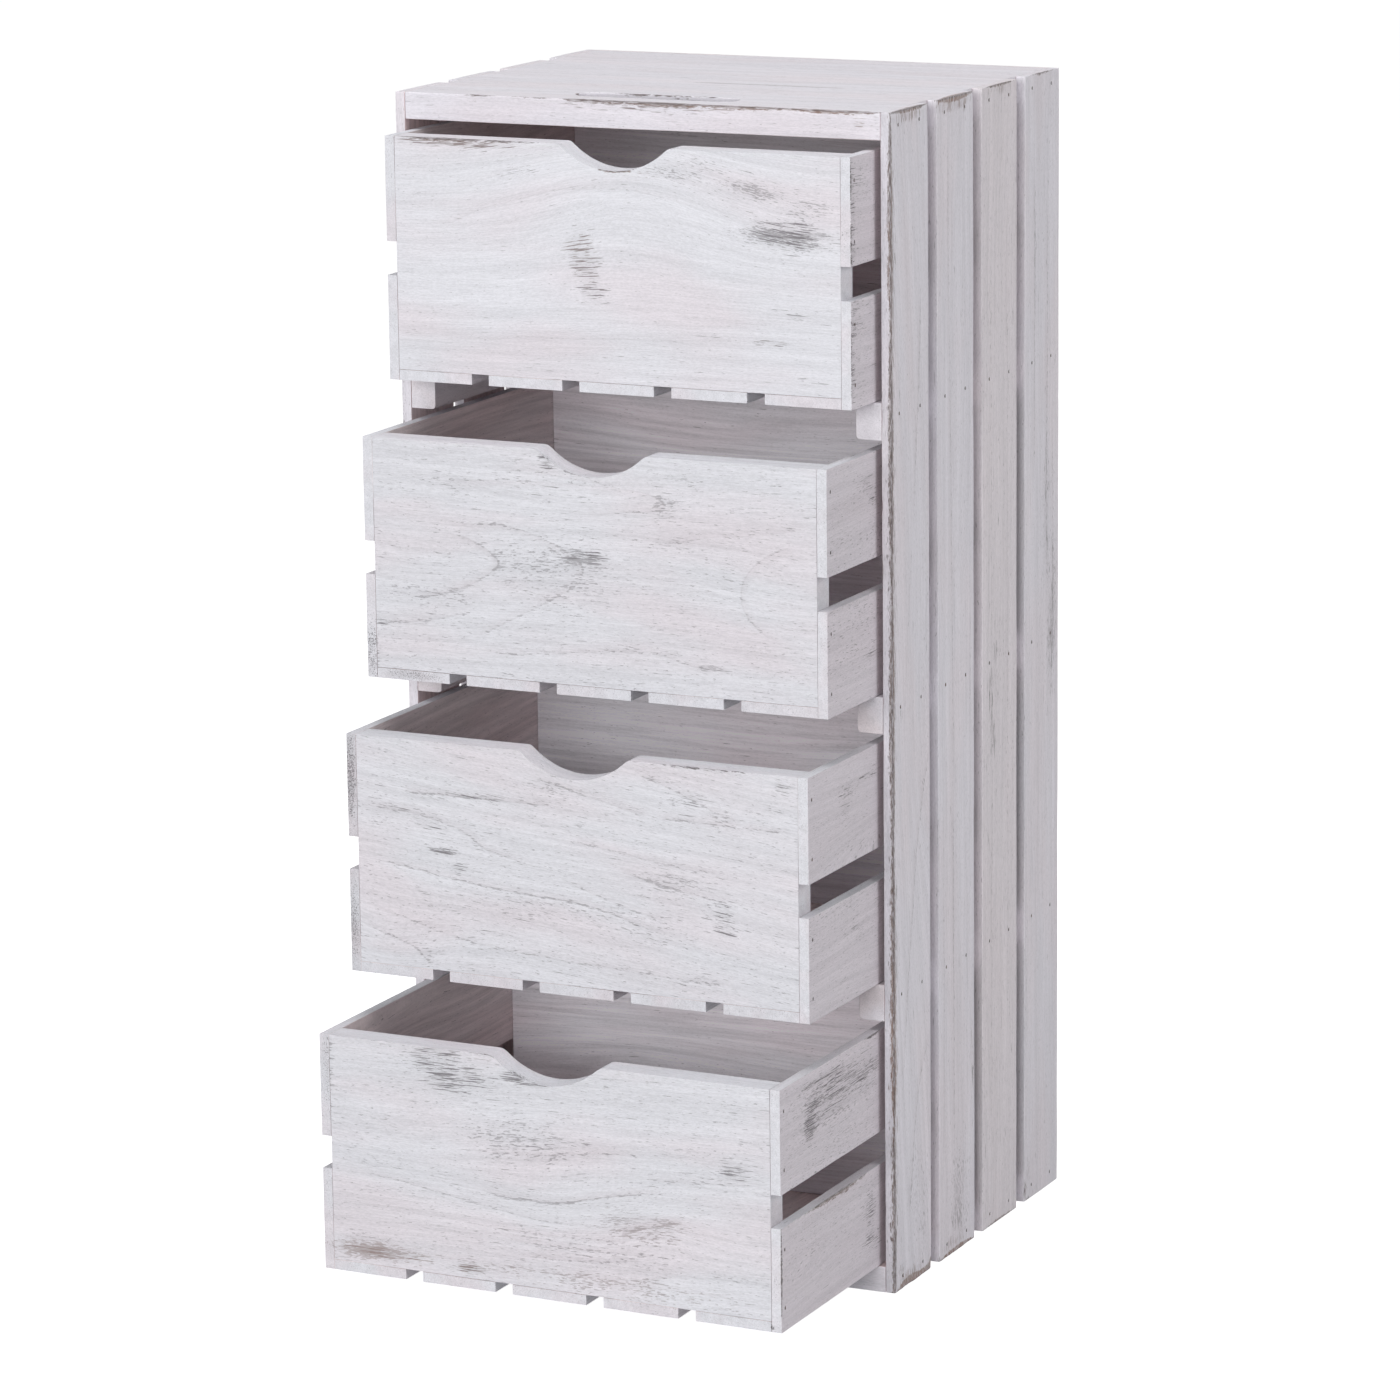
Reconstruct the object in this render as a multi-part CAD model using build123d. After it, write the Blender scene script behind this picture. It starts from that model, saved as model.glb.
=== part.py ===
from build123d import *
import os

# A wooden crate stood on its end as a chest, with four crate drawers that slide on cleats.
# Millimetres, +Z up, +X to the right and -Y to the front.
# The origin is on the floor, at the middle of the carcass without its drawers.

# Stock that the boards are cut from
slat_thickness = 7.5
panel_thickness = 19.0
back_thickness = 4.0
arris = 0.8

# Carcass
inner_width = 359.0
side_slat_count = 4
side_slat_width = 62.25
side_slat_gap = 15.0
hand_hole_length = 122.0
hand_hole_width = 23.0
hand_hole_setback = 31.0

# Cleats that the drawers run on
runner_width = 19.0
runner_height = 26.0
runner_round = 3.0

# Drawers
drawer_count = 4
drawer_board_thickness = 19.0
drawer_slat_width = 73.0
drawer_slat_gap = 23.0
bottom_slat_count = 5
bottom_slat_gap = 13.0
notch_chord = 82.0
notch_depth = 17.0
notch_shoulder = 5.0

# How far each drawer stands open, from the top one down
rest_openings = (38.0, 79.0, 112.0, 160.0)

# Clearances
running_clearance = 0.3
drawer_side_clearance = 4.5
drawer_head_clearance = 6.7
drawer_back_clearance = 1.0

# Brads, a flat head on a square shank
brad_shank = 1.2
brad_head_length = 2.4
brad_head_depth = 0.8
brad_bite = 15.0
slat_brad_spread_shares = (-0.28, 0.28)
runner_side_brad_share = 0.66
runner_back_brad_share = 0.3
back_brad_spread_shares = (-0.4, -0.2, 0.0, 0.2, 0.4)
drawer_side_brad_share = 0.36
drawer_bottom_brad_share = 0.64

# Sizes that follow from those above
outer_width = inner_width + 2 * slat_thickness
depth = side_slat_count * side_slat_width + (side_slat_count - 1) * side_slat_gap
front_y = -depth / 2
back_y = depth / 2
back_face_y = back_y - back_thickness
drawer_height = 2 * drawer_slat_width + drawer_slat_gap
bay_height = running_clearance + drawer_height + drawer_head_clearance
bay_pitch = bay_height + runner_height
inner_height = drawer_count * bay_pitch - runner_height
height = inner_height + 2 * panel_thickness
drawer_width = inner_width - 2 * drawer_side_clearance
drawer_length = back_face_y - drawer_back_clearance - front_y
drawer_inner_width = drawer_width - 2 * slat_thickness
bottom_slat_width = (drawer_inner_width - (bottom_slat_count - 1) * bottom_slat_gap) / bottom_slat_count
notch_radius = (notch_chord ** 2 / 4 + notch_depth ** 2) / (2 * notch_depth)

LEFT = -1
RIGHT = 1
SIDES = (("left", LEFT), ("right", RIGHT))


def board(x_span, y_span, z_span):
    """A straight board that fills three spans, with its arrises eased."""
    spans = (x_span, y_span, z_span)
    sizes = [max(span) - min(span) for span in spans]
    middle = [(max(span) + min(span)) / 2 for span in spans]
    block = Pos(*middle) * Box(*sizes)
    return chamfer(block.edges(), arris)


def spans_in_row(count, size, gap, start):
    """The two ends of each of several equal pieces set in a row with equal gaps."""
    return [(start + n * (size + gap), start + n * (size + gap) + size) for n in range(count)]


def mirrored(sign, near, far):
    """A span on the left or the right side, measured outwards from the middle."""
    return (sign * near, sign * far)


def side_slat(sign, y_span):
    """One upright slat of a side, which covers the ends of the top and bottom panels."""
    return board(mirrored(sign, inner_width / 2, outer_width / 2), y_span, (0, height))


def plain_panel(z_low):
    """The solid end of the crate, shut in by the side slats and the back."""
    half = inner_width / 2
    return board((-half, half), (front_y, back_face_y), (z_low, z_low + panel_thickness))


def panel_with_hand_hole(z_low):
    """The upper end of the crate, with a long hole near its front edge to carry it by."""
    slot = extrude(SlotOverall(hand_hole_length, hand_hole_width), panel_thickness)
    panel = plain_panel(z_low) - Pos(0, front_y + hand_hole_setback, z_low) * slot
    for face in (panel.faces().sort_by(Axis.Z)[0], panel.faces().sort_by(Axis.Z)[-1]):
        panel = chamfer(face.inner_wires()[0].edges(), arris)
    return panel


def runner(sign, z_low):
    """A cleat along the inside of a side, with its lower inner edge rounded over."""
    outline = Rectangle(runner_width, runner_height)
    inner_corner = outline.vertices().sort_by(Axis.Y)[:2].sort_by(Axis.X)[0]
    outline = fillet(inner_corner, runner_round)
    outline = chamfer(outline.vertices().filter_by(lambda v: v.Y > 0), arris)
    length = back_face_y - front_y
    cleat = extrude(Plane.XZ * outline, length)
    if sign == LEFT:
        cleat = mirror(cleat, Plane.YZ)
    middle_x = sign * (inner_width / 2 - runner_width / 2)
    return Pos(middle_x, front_y + length, z_low + runner_height / 2) * cleat


def drawer_end(z_low, y_front, notched):
    """The front or back board of a drawer, the front one with an arched finger notch."""
    board_height = drawer_height - slat_thickness
    outline = Rectangle(drawer_inner_width, board_height, align=(Align.CENTER, Align.MIN))
    if notched:
        outline -= Pos(0, board_height - notch_depth + notch_radius) * Circle(notch_radius)
        upper = outline.vertices().filter_by(lambda v: v.Y > board_height / 2)
        outline = fillet(upper.sort_by(lambda v: abs(v.X))[:2], notch_shoulder)
    blank = extrude(Plane.XZ * outline, drawer_board_thickness)
    blank = chamfer(blank.edges(), arris)
    return Pos(0, y_front + drawer_board_thickness, z_low + slat_thickness) * blank


def brad(point, inward):
    """A brad driven flush at a point, along a direction that points into the wood."""
    length = slat_thickness + brad_bite
    up = (Align.CENTER, Align.CENTER, Align.MIN)
    shank = Box(brad_shank, brad_shank, length, align=up)
    head = Box(brad_head_length, brad_shank, brad_head_depth, align=up)
    along = (0, 0, 1) if inward[2] == 0 else (0, 1, 0)
    return Plane(origin=point, x_dir=along, z_dir=inward) * (shank + head)


def across(span, share):
    """A place in a span, as a share of its width from its middle."""
    return (span[0] + span[1]) / 2 + share * (span[1] - span[0])


def runner_level(bay):
    """The underside of the pair of cleats that carries a drawer, counted from the top."""
    return bay_floor(bay) - runner_height


def bay_floor(bay):
    """The height that a drawer slides at, counted from the top."""
    return panel_thickness + (drawer_count - 1 - bay) * bay_pitch


def carcass():
    """All the pieces that stay put, by name."""
    nodes = {}
    slat_rows = spans_in_row(side_slat_count, side_slat_width, side_slat_gap, front_y)
    half = inner_width / 2
    for side, sign in SIDES:
        for n, y_span in enumerate(slat_rows):
            nodes[f"{side}_side_slat_{n + 1}"] = side_slat(sign, y_span)
        for bay in range(drawer_count - 1):
            nodes[f"{side}_runner_{bay + 1}"] = runner(sign, runner_level(bay))
    nodes["top_panel"] = panel_with_hand_hole(height - panel_thickness)
    nodes["bottom_panel"] = plain_panel(0)
    nodes["back_panel"] = board((-half, half), (back_face_y, back_y), (0, height))

    runner_levels = [runner_level(bay) for bay in range(drawer_count - 1)]
    panel_levels = [panel_thickness / 2, height - panel_thickness / 2]
    side_levels = panel_levels + [z + runner_side_brad_share * runner_height for z in runner_levels]
    nodes["side_slat_brads"] = Compound(children=[
        brad((sign * outer_width / 2, across(y_span, share), z), (-sign, 0, 0))
        for _, sign in SIDES
        for y_span in slat_rows
        for z in side_levels
        for share in slat_brad_spread_shares
    ])
    back_brads = [
        brad((share * inner_width, back_y, z), (0, -1, 0))
        for z in panel_levels
        for share in back_brad_spread_shares
    ]
    runner_middle = half - runner_width / 2
    back_brads += [
        brad((sign * runner_middle, back_y, z + runner_back_brad_share * runner_height), (0, -1, 0))
        for _, sign in SIDES
        for z in runner_levels
    ]
    nodes["back_panel_brads"] = Compound(children=back_brads)
    return nodes


def drawer(bay):
    """The pieces of one drawer where it stands open, by name."""
    nodes = {}
    name = f"drawer_{bay + 1}"
    z_low = bay_floor(bay) + running_clearance
    z_high = z_low + drawer_height
    y_front = front_y - rest_openings[bay]
    y_back = y_front + drawer_length
    y_span = (y_front, y_back)
    half = drawer_inner_width / 2

    nodes[f"{name}_front"] = drawer_end(z_low, y_front, True)
    nodes[f"{name}_back"] = drawer_end(z_low, y_back - drawer_board_thickness, False)
    slat_levels = {
        "upper": (z_high - drawer_slat_width, z_high),
        "lower": (z_low, z_low + drawer_slat_width),
    }
    for side, sign in SIDES:
        x_span = mirrored(sign, half, drawer_width / 2)
        for level, z_span in slat_levels.items():
            nodes[f"{name}_{side}_{level}_slat"] = board(x_span, y_span, z_span)
    slat_rows = spans_in_row(bottom_slat_count, bottom_slat_width, bottom_slat_gap, -half)
    nodes[f"{name}_bottom_slats"] = Compound(children=[
        board(x_span, y_span, (z_low, z_low + slat_thickness)) for x_span in slat_rows
    ])

    front_board = (y_front, y_front + drawer_board_thickness)
    back_board = (y_back, y_back - drawer_board_thickness)
    brads = []
    for outer, inner in (front_board, back_board):
        side_y = outer + drawer_side_brad_share * (inner - outer)
        bottom_y = outer + drawer_bottom_brad_share * (inner - outer)
        for share in slat_brad_spread_shares:
            for _, sign in SIDES:
                for z_span in slat_levels.values():
                    point = (sign * drawer_width / 2, side_y, across(z_span, share))
                    brads.append(brad(point, (-sign, 0, 0)))
            for x_span in slat_rows:
                brads.append(brad((across(x_span, share), bottom_y, z_low), (0, 0, 1)))
    nodes[f"{name}_brads"] = Compound(children=brads)
    return nodes


def chest():
    """Every piece of the chest, by name."""
    nodes = carcass()
    for bay in range(drawer_count):
        nodes.update(drawer(bay))
    return nodes


os.makedirs("parts", exist_ok=True)
for node, shape in chest().items():
    export_step(shape, f"parts/{node}.step")
print(f"carcass {outer_width} wide, {depth} deep, {height} high")
print(f"drawer {drawer_width} wide, {drawer_length} long, bottom slats {bottom_slat_width} wide")
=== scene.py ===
import itertools
import math
from dataclasses import dataclass

import bpy
import numpy as np
from mathutils import Matrix, Vector

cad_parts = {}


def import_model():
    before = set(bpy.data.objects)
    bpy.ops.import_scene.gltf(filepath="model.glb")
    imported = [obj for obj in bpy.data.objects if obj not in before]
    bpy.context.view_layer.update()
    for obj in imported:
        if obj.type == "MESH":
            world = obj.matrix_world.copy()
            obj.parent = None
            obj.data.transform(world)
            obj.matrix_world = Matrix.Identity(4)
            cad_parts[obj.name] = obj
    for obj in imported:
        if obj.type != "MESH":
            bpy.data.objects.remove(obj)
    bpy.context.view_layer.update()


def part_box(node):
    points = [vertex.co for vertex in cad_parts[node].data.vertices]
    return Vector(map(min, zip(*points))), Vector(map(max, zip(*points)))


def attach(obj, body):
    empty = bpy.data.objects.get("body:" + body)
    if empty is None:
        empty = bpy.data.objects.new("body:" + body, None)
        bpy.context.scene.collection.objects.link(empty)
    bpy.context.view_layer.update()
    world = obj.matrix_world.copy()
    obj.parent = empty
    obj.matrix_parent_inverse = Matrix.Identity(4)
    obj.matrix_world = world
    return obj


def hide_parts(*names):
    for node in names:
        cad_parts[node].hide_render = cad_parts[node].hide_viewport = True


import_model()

# A crate chest in rubbed white paint, with four crate drawers that stand open by steps.
# Lengths are in millimetres unless a name says otherwise, and MM turns them into metres.
MM = 0.001
TINY = 1e-9
TOUCH = 1e-6

X, Y, Z = 0, 1, 2
DRAWERS = (1, 2, 3, 4)
SIDES = ("left", "right")
LEVELS = ("upper", "lower")
SLATS = (1, 2, 3, 4)
RUNNERS = (1, 2, 3)

# Edges of the boards
edge_offsets = (0.0, 0.07, 0.25, 0.6, 1.2, 2.2, 4.0)
sharp_radius = 0.3
seam_radius = 0.07
soft_radius = 0.35
chip_radius = 1.6
chip_cell = 15.0
chip_share = 0.8
corner_reach = 30.0
rub_cell = 30.0
wear_radius = 0.9
wear_cell = 5.0
largest_radius_share = 0.45
worn_edge_share = 0.6
edge_reach = 30.0
face_skin = 0.1
unevenness = 0.22
unevenness_cell = 38.0
unevenness_seed = 13
chip_seed, rub_seed, wear_seed = 11, 12, 14
drawer_wornness = 0.15
runner_wornness = 0.5
back_wornness = 0.4

# Mesh steps on the boards
front_step = 2.5
slat_step = 3.5
board_step = 5.0
hidden_step = 8.0

# Growth rings of a board that has none listed
figure_bump_counts = (2, 5)
figure_reach_along = (60, 190)
figure_reach_across = (10, 30)
figure_rise = (-22, 22)
figure_spacing = (8, 14)
figure_slope = (-0.03, 0.03)
figure_follow_share = 0.6
ring_depth_share = 0.7
grain_seed = 500
grain_shift = 4000

# Drawn lines of the grain, and worn places
line_reach = 12.0
line_end_share = 0.16
line_samples = 8
spot_fall = 1.3
spot_power = 3
warm_gain = 3
front_spot_depth = 6.0
drawer_spot_depth = 0.6
carcass_spot_depth = 5.0

# Finger notch of a drawer front
notch_chord = 82.0
notch_depth = 17.0
notch_shoulders = {1: 5.0, 2: 6.5, 3: 5.0, 4: 9.0}
notch_fade_share = 0.62

# Hand hole of the top panel
hand_hole_length = 122.0
hand_hole_width = 23.0
hand_hole_setback = 31.0
hand_hole_round = 0.9
hand_hole_warp = 17.0
hand_hole_step = 2.0
hand_hole_offsets = (0.0, 0.3, 0.9, 2.0)

# Cleats and drawer bottoms
runner_round = 3.0
bottom_slat_count = 5
bottom_slat_gap = 13.0

# Brads, and the pits that they stand in
brad_shank = 1.2
brad_head_length = 2.4
brad_head_depth = 0.8
brad_length = 22.5
brad_sink = 0.35
brad_dome = 0.12
brad_corner_share = 0.25
brad_place_digits = 3
pit_offsets = (-2.2, -1.1, -0.5, 0.5, 1.1, 2.2)
pit_clear = 0.6
pit_reach = (2.0, 1.5)
pit_depth = 0.7
pit_floor_share = 0.1
slat_brad_shares = (-0.28, 0.28)
runner_side_brad_share = 0.66
runner_back_brad_share = 0.3
back_brad_shares = (-0.4, -0.2, 0.0, 0.2, 0.4)
drawer_side_brad_share = 0.36
drawer_bottom_brad_share = 0.64

# How grey, how beige and how bare of paint the boards are, from 0 to 1; the grey of the drawer fronts is
# painted shade, and the beige of the drawer sides' outer faces is painted side light
# Painted shade: the drawer fronts are made darker, drawer 1 least and the lower drawers more
front_grime = {1: 0.06, 2: 0.1, 3: 0.095, 4: 0.11}
side_grime = 0.08
slat_end_grimes = {(3, "left"): 0.1, (4, "left"): 0.03}
# The front edge of the first right slat is made darker
slat_edge_grimes = {("right", 1): 0.16}
# Painted light: the outer faces of the drawer sides take a beige colour for the pinker light falling on them
# from the side
drawer_side_painted_light = 0.8
side_tints = {("right", 3): 0.6, ("left", 3): 0.4}
end_board_bareness = 0.12
drawer_side_bareness = 0.8
drawer_bottom_bareness = 1.0
carcass_bareness = 0.8

# Camera, found from the photograph's own lines: it is turned round, tilted up from straight down, and rolled
camera_place = (1724.9, -3601.7, 1256.8)
camera_turns_deg = (("Z", 25.976), ("X", 77.564), ("Z", -0.678))
camera_clip_m = 100.0
photo_size_px = 1400
focal_length_px = 5716.36
sensor_mm = 36.0

# Studio: each lamp has a place, a size and a power
floor_half_m = 40.0
floor_drop_m = 0.0003
floor_grey = 0.75
floor_glow = 0.87
ambient_strength = 0.17
background_strength = 1.0
aim_m = (0.0, -0.1, 0.4)
lamps_m_w = {
    "key": ((0.24, -9.0, 2.3), (6.2, 3.0), 490.0),
    "top": ((-0.3, -0.6, 3.4), (2.0, 2.0), 42.0),
    "side": ((3.13, -0.44, 1.88), (1.5, 1.5), 32.0),
}

# Noise that fixes the worn edges, and the seeds of the boards, the same in each run
seed_range = 9973
hash_factors = (73856093, 19349663, 83492791)
hash_seed_factor = 2654435761
hash_turns = ((15, 2246822519), (13, 3266489917))
hash_last_shift = 16
hash_range = 2 ** 32
hash_mask = np.uint64(hash_range - 1)


def hashed(cells, seed):
    """A fixed number from 0 to 1 for each cell of a lattice."""
    n = cells.astype(np.uint64) @ np.array(hash_factors, np.uint64)
    n = (n + np.uint64(seed * hash_seed_factor % hash_range)) & hash_mask
    for shift, factor in hash_turns:
        n = ((n ^ (n >> np.uint64(shift))) * np.uint64(factor)) & hash_mask
    return (n ^ (n >> np.uint64(hash_last_shift))) / float(hash_range)


def value_noise(points, cell, seed):
    """Smooth noise from 0 to 1 at each point, with lumps about one cell in size."""
    scaled = points / cell
    base = np.floor(scaled).astype(np.int64)
    t = smooth_step(0, 1, scaled - base)
    total = np.zeros(len(points))
    for corner in itertools.product((0, 1), repeat=3):
        weight = np.prod(np.where(corner, t, 1 - t), axis=1)
        total += weight * hashed(base + np.array(corner), seed)
    return total


def smooth_step(low, high, value):
    """0 up to low, 1 from high on, and a smooth rise between."""
    t = np.clip((value - low) / (high - low), 0, 1)
    return t * t * (3 - 2 * t)


@dataclass
class Bump:
    """A place where the grain lines bow aside: middle along and across, reach both ways, rise."""
    along: float
    across: float
    reach_along: float
    reach_across: float
    rise: float


@dataclass
class Figure:
    """How the growth rings run over a board."""
    spacing: float
    slope: float
    bumps: list
    follow_share: float = 1.0


@dataclass
class Spot:
    """A worn place: what it is, its middle and reach in the frame, its strength and how brown it is.

    A rub is a smudge of strokes along the grain, a stipple is a crowd of pores, and a wear is
    an edge with its paint gone.
    """
    kind: str
    middle: np.ndarray
    reach: np.ndarray
    strength: float
    warm: float = 0.0


@dataclass
class Line:
    """A drawn growth ring: places along and across a board in the frame, and its strength."""
    places: np.ndarray
    strength: float


@dataclass
class Board:
    """One board of the chest, as its box in the frame and what shows on it.

    Three lists name faces, each as an axis, an end and an amount: the faces inside, the faces that take a
    beige colour as painted side light, and the faces made darker.
    """
    low: np.ndarray
    high: np.ndarray
    grain: int
    across: int
    step: float
    seed: int
    figure: Figure = None
    spots: tuple = ()
    lines: tuple = ()
    pits: tuple = ()
    inside: tuple = ()
    tint: float = 0.0
    tinted: tuple = ()
    grime: float = 0.0
    dirty: tuple = ()
    worn: float = 1.0
    sharp: float = sharp_radius
    hole: tuple = None

    @property
    def depth(self):
        return X + Y + Z - self.grain - self.across

    @property
    def size(self):
        return self.high - self.low


def box_of(node):
    """A node's two corners in millimetres."""
    low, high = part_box(node)
    return np.array(low) / MM, np.array(high) / MM


def middle_of(node):
    low, high = box_of(node)
    return (low + high) / 2


def unit(vectors):
    """Vectors made one long."""
    return vectors / np.maximum(np.linalg.norm(vectors, axis=1, keepdims=True), TINY)


def figure_for(seed, length, width):
    """A natural figure for a board that has none listed."""
    rng = np.random.default_rng(seed)
    bumps = [
        Bump(
            along=rng.uniform(0, length),
            across=rng.uniform(0, width),
            reach_along=rng.uniform(*figure_reach_along),
            reach_across=rng.uniform(*figure_reach_across),
            rise=rng.uniform(*figure_rise),
        )
        for _ in range(rng.integers(*figure_bump_counts))
    ]
    return Figure(rng.uniform(*figure_spacing), rng.uniform(*figure_slope), bumps, figure_follow_share)


def places_along(length, step, marks):
    """Lattice places along one side of a board, closer by its ends and by each mark."""
    ends = [e for e in edge_offsets if e < length / 2]
    count = max(int(round((length - 2 * ends[-1]) / step)), 1)
    places = set(ends) | {length - e for e in ends}
    middle = np.linspace(ends[-1], length - ends[-1], count + 1)
    near = [m + o for m in marks for o in pit_offsets]
    places |= {m for m in middle[1:-1] if all(abs(m - n) > pit_clear for n in near)}
    places |= {n for n in near if ends[-1] < n < length - ends[-1]}
    return np.array(sorted(places))


def crossed(first, second):
    """Every pair of two lists of numbers, as two long lists."""
    return [a.ravel() for a in np.meshgrid(first, second, indexing="ij")]


def quads_on(counts, plane, rows, columns, flipped):
    """The corners of lattice cells on a plane, given as an axis and an end; rows and columns as an
    axis and where the cells start."""
    (axis, end), (u, iu), (v, iv) = plane, rows, columns
    corners = []
    for du, dv in ((0, 0), (1, 0), (1, 1), (0, 1)):
        index = np.zeros((3, len(iu)), int)
        index[axis], index[u], index[v] = end, iu + du, iv + dv
        corners.append(np.ravel_multi_index(index, counts))
    order = (0, 3, 2, 1) if flipped else (0, 1, 2, 3)
    return np.stack(corners, 1)[:, order]


def face_cells(counts, axis, end, outward, hole):
    """The cells on one face of a lattice, without those inside its hole."""
    u, v = (axis + 1) % 3, (axis + 2) % 3
    iu, iv = crossed(np.arange(counts[u] - 1), np.arange(counts[v] - 1))
    if hole:
        (x_start, x_end), (y_start, y_end) = hole
        kept = ~((iu >= x_start) & (iu < x_end) & (iv >= y_start) & (iv < y_end))
        iu, iv = iu[kept], iv[kept]
    return quads_on(counts, (axis, end), (u, iu), (v, iv), not outward)


def wall_cells(counts, hole):
    """The cells on the four walls of a hole along Z."""
    faces = []
    for axis in (X, Y):
        other = X + Y - axis
        io, iz = crossed(np.arange(*hole[other]), np.arange(counts[Z] - 1))
        for end, flipped in ((hole[axis][0], axis == Y), (hole[axis][1], axis == X)):
            faces.append(quads_on(counts, (axis, end), (other, io), (Z, iz), flipped))
    return faces


def skin_of_lattice(lines, hole):
    """The points and outward quads of the closed skin of a lattice, with a hole through it along Z."""
    counts = [len(line) for line in lines]
    faces = []
    for axis in (X, Y, Z):
        through = hole if axis == Z else None
        faces.append(face_cells(counts, axis, 0, False, through))
        faces.append(face_cells(counts, axis, counts[axis] - 1, True, through))
    if hole:
        faces += wall_cells(counts, hole)
    used, quads = np.unique(np.concatenate(faces), return_inverse=True)
    index = np.stack(np.unravel_index(used, counts), 1)
    points = np.stack([lines[axis][index[:, axis]] for axis in (X, Y, Z)], 1)
    return points, quads.reshape(-1, 4)


def worn_radius(board, points):
    """The radius of the edges near each point, larger where a chip or wear has rounded it."""
    places = points + board.low
    dents = value_noise(places, chip_cell, board.seed + chip_seed)
    chips = smooth_step(chip_share, 1, dents) * chip_radius * board.worn
    corner = np.sort(np.minimum(points, board.size - points), axis=1)[:, 2]
    rounded = soft_radius * (1 - smooth_step(0, corner_reach, corner))
    rub = value_noise(places, rub_cell, board.seed + rub_seed)
    wear = spots_at(board, points, "wear") * value_noise(places, wear_cell, board.seed + wear_seed)
    general = rounded * board.worn + soft_radius * rub * rub * board.worn
    return board.sharp + general + chips + wear_radius * wear


def pits_in(board, points):
    """How deep the skin is dented at each point by the brads."""
    depth = np.zeros(len(points))
    for place, facing, _ in board.pits:
        offset = points + board.low - place
        axes = [axis for axis in (X, Y, Z) if axis != facing]
        reach = [pit_reach[0] if axis == head_axis(facing) else pit_reach[1] for axis in axes]
        share = sum((offset[:, axis] / r) ** 2 for axis, r in zip(axes, reach))
        on_face = np.abs(offset[:, facing]) < pit_depth
        depth += pit_depth * on_face * (1 - smooth_step(pit_floor_share, 1, share))
    return depth


def skin_of_board(board):
    """A board's points before and after wear, its quads and its points' distance from an edge."""
    marks = brad_marks(board)
    lines = [places_along(board.size[axis], board.step, marks[axis]) for axis in (X, Y, Z)]
    hole = None
    if board.hole:
        lines, hole = lines_round_hole(board, lines)
    points, quads = skin_of_lattice(lines, hole)
    radius = worn_radius(board, points)[:, None]
    radius = np.minimum(radius, largest_radius_share * board.size.min())
    core = np.clip(points, radius, board.size - radius)
    dent = unevenness * value_noise(points + board.low, unevenness_cell, unevenness_seed)
    dent += pits_in(board, points)
    worn = core + unit(points - core) * (radius - dent[:, None])
    to_edge = np.sort(np.minimum(points, board.size - points), axis=1)[:, 1]
    edge = to_edge - worn_edge_share * (radius[:, 0] - board.sharp)
    if board.hole:
        edge = np.minimum(edge, rim_distance(board, points))
        worn = rounded_rim(board, points, worn)
    return points, worn, quads, edge


def lines_round_hole(board, lines):
    """A board's lattice lines with more of them by its hole, and the hole's span in them."""
    lines = list(lines)
    spans = []
    low, high = board.hole
    half = (high[Y] - low[Y]) / 2
    for axis in (X, Y):
        a, b = low[axis], high[axis]
        near = {a - o for o in hand_hole_offsets} | {b + o for o in hand_hole_offsets}
        near |= set(np.arange(a + hand_hole_step, a + half, hand_hole_step))
        near |= set(np.arange(b - hand_hole_step, b - half, -hand_hole_step))
        kept = {p for p in lines[axis] if all(abs(p - n) > hand_hole_step / 2 for n in near)}
        lines[axis] = np.array(sorted(kept | near))
        spans.append([int(np.argmin(abs(lines[axis] - end))) for end in (a, b)])
    return lines, spans


def from_hole(board, points):
    """Each point's distance from a board's hole seen from above, the way from it and the nearest place."""
    low, high = board.hole
    nearest = np.clip(points[:, :Z], low, high)
    away = points[:, :Z] - nearest
    distance = np.linalg.norm(away, axis=1)
    side = (np.abs(points[:, :Z] - high) < TOUCH).astype(float)
    side -= np.abs(points[:, :Z] - low) < TOUCH
    return distance, unit(np.where(distance[:, None] < TOUCH, side, away)), nearest


def rim_distance(board, points):
    """How far each point is from the upper or lower rim of a board's hole."""
    distance, _, _ = from_hole(board, points)
    to_faces = np.minimum(points[:, Z], board.size[Z] - points[:, Z])
    return np.hypot(distance, to_faces)


def rounded_rim(board, points, worn):
    """A board's points with the rims of its hole rounded and the hole's ends made round."""
    distance, way, nearest = from_hole(board, points)
    r = hand_hole_round
    core = np.stack([np.maximum(distance, r), np.clip(points[:, Z], r, board.size[Z] - r)], 1)
    turned = core + unit(np.stack([distance, points[:, Z]], 1) - core) * r
    by_rim = distance < r
    shaped = worn.copy()
    shaped[by_rim, :Z] = (nearest + way * turned[:, :1])[by_rim]
    shaped[by_rim, Z] = turned[by_rim, 1]
    fade = 1 - smooth_step(0, hand_hole_warp, distance)
    shaped[:, :Z] += (round_ended(board, nearest) - nearest) * fade[:, None]
    return shaped


def round_ended(board, places):
    """Moves places in a hole's oblong so that its square ends become half rounds."""
    low, high = board.hole
    middle, half = (low + high) / 2, (high[Y] - low[Y]) / 2
    from_middle = places[:, X] - middle[X]
    u = np.maximum(np.abs(from_middle) - (high[X] - low[X]) / 2 + half, 0) / half
    v = (places[:, Y] - middle[Y]) / half
    moved = places.copy()
    moved[:, X] += np.sign(from_middle) * (u * np.sqrt(1 - v * v / 2) - u) * half
    moved[:, Y] = middle[Y] + v * np.sqrt(1 - u * u / 2) * half
    return moved


def brad_marks(board):
    """The places of the brads along each side of a board."""
    marks = [set(), set(), set()]
    for place, facing, _ in board.pits:
        for axis in {X, Y, Z} - {facing}:
            marks[axis].add(round(float(place[axis] - board.low[axis]), brad_place_digits))
    return [sorted(places) for places in marks]


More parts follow.
